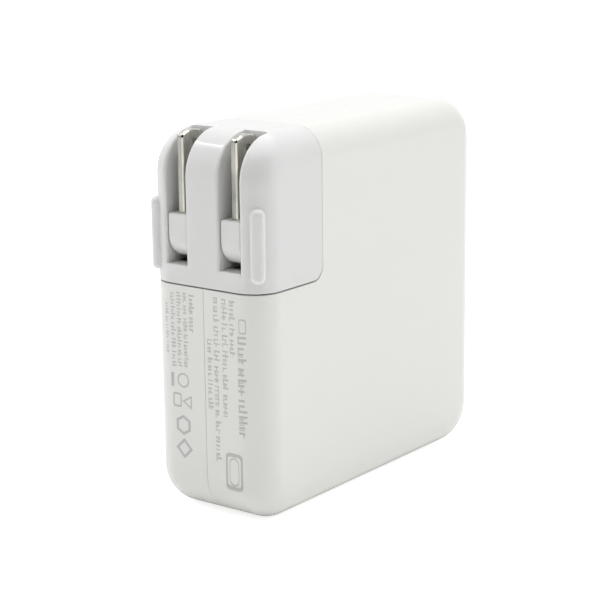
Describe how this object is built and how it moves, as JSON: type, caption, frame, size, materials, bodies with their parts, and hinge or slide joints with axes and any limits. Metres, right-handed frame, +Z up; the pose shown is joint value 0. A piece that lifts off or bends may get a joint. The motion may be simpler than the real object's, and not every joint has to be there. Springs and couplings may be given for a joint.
{
  "type": "laptop power adapter",
  "caption": "Square white laptop power adapter with a slide-off corner plug head, folding mains prongs, a hidden figure-8 inlet and an oval low-voltage output socket.",
  "frame": {"origin": "centre of the bounding box's bottom face, on the floor under the standing adapter", "axes": "+Z up from the narrow face it stands on, -Y out of the narrow face the prongs fold out of, +X through the thickness"},
  "size_m": [0.0274, 0.0734, 0.0734],
  "materials": {
    "housing_white": "polished warm white polycarbonate",
    "head_white": "polished slightly cooler white polycarbonate",
    "carrier_white": "polished white moulding",
    "inlet_white": "fine moulded, flame-retardant white",
    "prong_nickel": "nickel plated brass, lengthwise brushed, polished edges",
    "pin_nickel": "nickel plated, turned",
    "stud_steel": "bright nickel plated steel",
    "spring_steel": "rolled stainless strip",
    "contact_bronze": "tarnished phosphor bronze",
    "lead_insulation": "satin sleeve",
    "board_green": "solder-masked glass-epoxy laminate",
    "insulation_film": "thin amber film",
    "can_aluminium": "drawn, satin",
    "sleeve_black": "heat-shrunk film, satin",
    "film_box_yellow": "moulded case, satin",
    "ferrite": "ground ferrite, dull",
    "choke_wire": "enamelled copper wire, glossy",
    "bobbin_black": "phenolic, satin",
    "tape_yellow": "polyester tape, satin",
    "fuse_ceramic": "matt ceramic body",
    "thermistor_coat": "dipped resin coat",
    "tinned_wire": "tinned",
    "chip_black": "moulded epoxy",
    "heat_spreader": "mill finish sheet",
    "pad_grey": "soft filled silicone",
    "header_black": "moulded",
    "port_steel": "deep-drawn stainless, satin",
    "port_tongue": "moulded black",
    "contact_gold": "gold flash",
    "print_grey": "pad printed ink film, satin"
  },
  "bodies": {
    "housing": {"right_shell": "housing_white", "left_shell": "housing_white", "inlet_socket": "inlet_white", "inlet_pins": "pin_nickel", "inlet_leads": "lead_insulation", "retention_stud": "stud_steel", "stud_retainer": "spring_steel", "main_board": "board_green", "board_screws": "stud_steel", "insulation_sheet": "insulation_film", "bulk_capacitor_cans": "can_aluminium", "bulk_capacitor_sleeves": "sleeve_black", "bulk_capacitor_leads": "tinned_wire", "filter_capacitor": "film_box_yellow", "choke_core": "ferrite", "choke_windings": "choke_wire", "transformer_core": "ferrite", "transformer_bobbin": "bobbin_black", "transformer_winding": "tape_yellow", "fuse": "fuse_ceramic", "thermistor": "thermistor_coat", "thermistor_legs": "tinned_wire", "rectifier": "chip_black", "transistors": "chip_black", "output_capacitors": "can_aluminium", "heat_spreader": "heat_spreader", "thermal_pad": "pad_grey", "output_board": "board_green", "board_link": "header_black", "port_shell": "port_steel", "port_tongue": "port_tongue", "port_contacts": "contact_gold"},
    "plug_head": {"plug_cover": "head_white", "plug_base": "inlet_white", "catch_plate": "spring_steel", "plug_contacts": "contact_bronze", "detent_spring": "spring_steel"},
    "prongs": {"prong_carrier": "carrier_white", "prong_left": "prong_nickel", "prong_right": "prong_nickel", "hinge_pin": "stud_steel"}
  },
  "joints": [
    {"name": "plug_head_slide", "type": "slide", "parent": "housing", "child": "plug_head", "axis": [0, -1, 0], "range_m": [0, 0.032]},
    {"name": "prong_fold", "type": "hinge", "parent": "plug_head", "child": "prongs", "pos_m": [0, -0.0318, 0.05285], "axis": [1, 0, 0], "range_deg": [0, 90]}
  ]
}
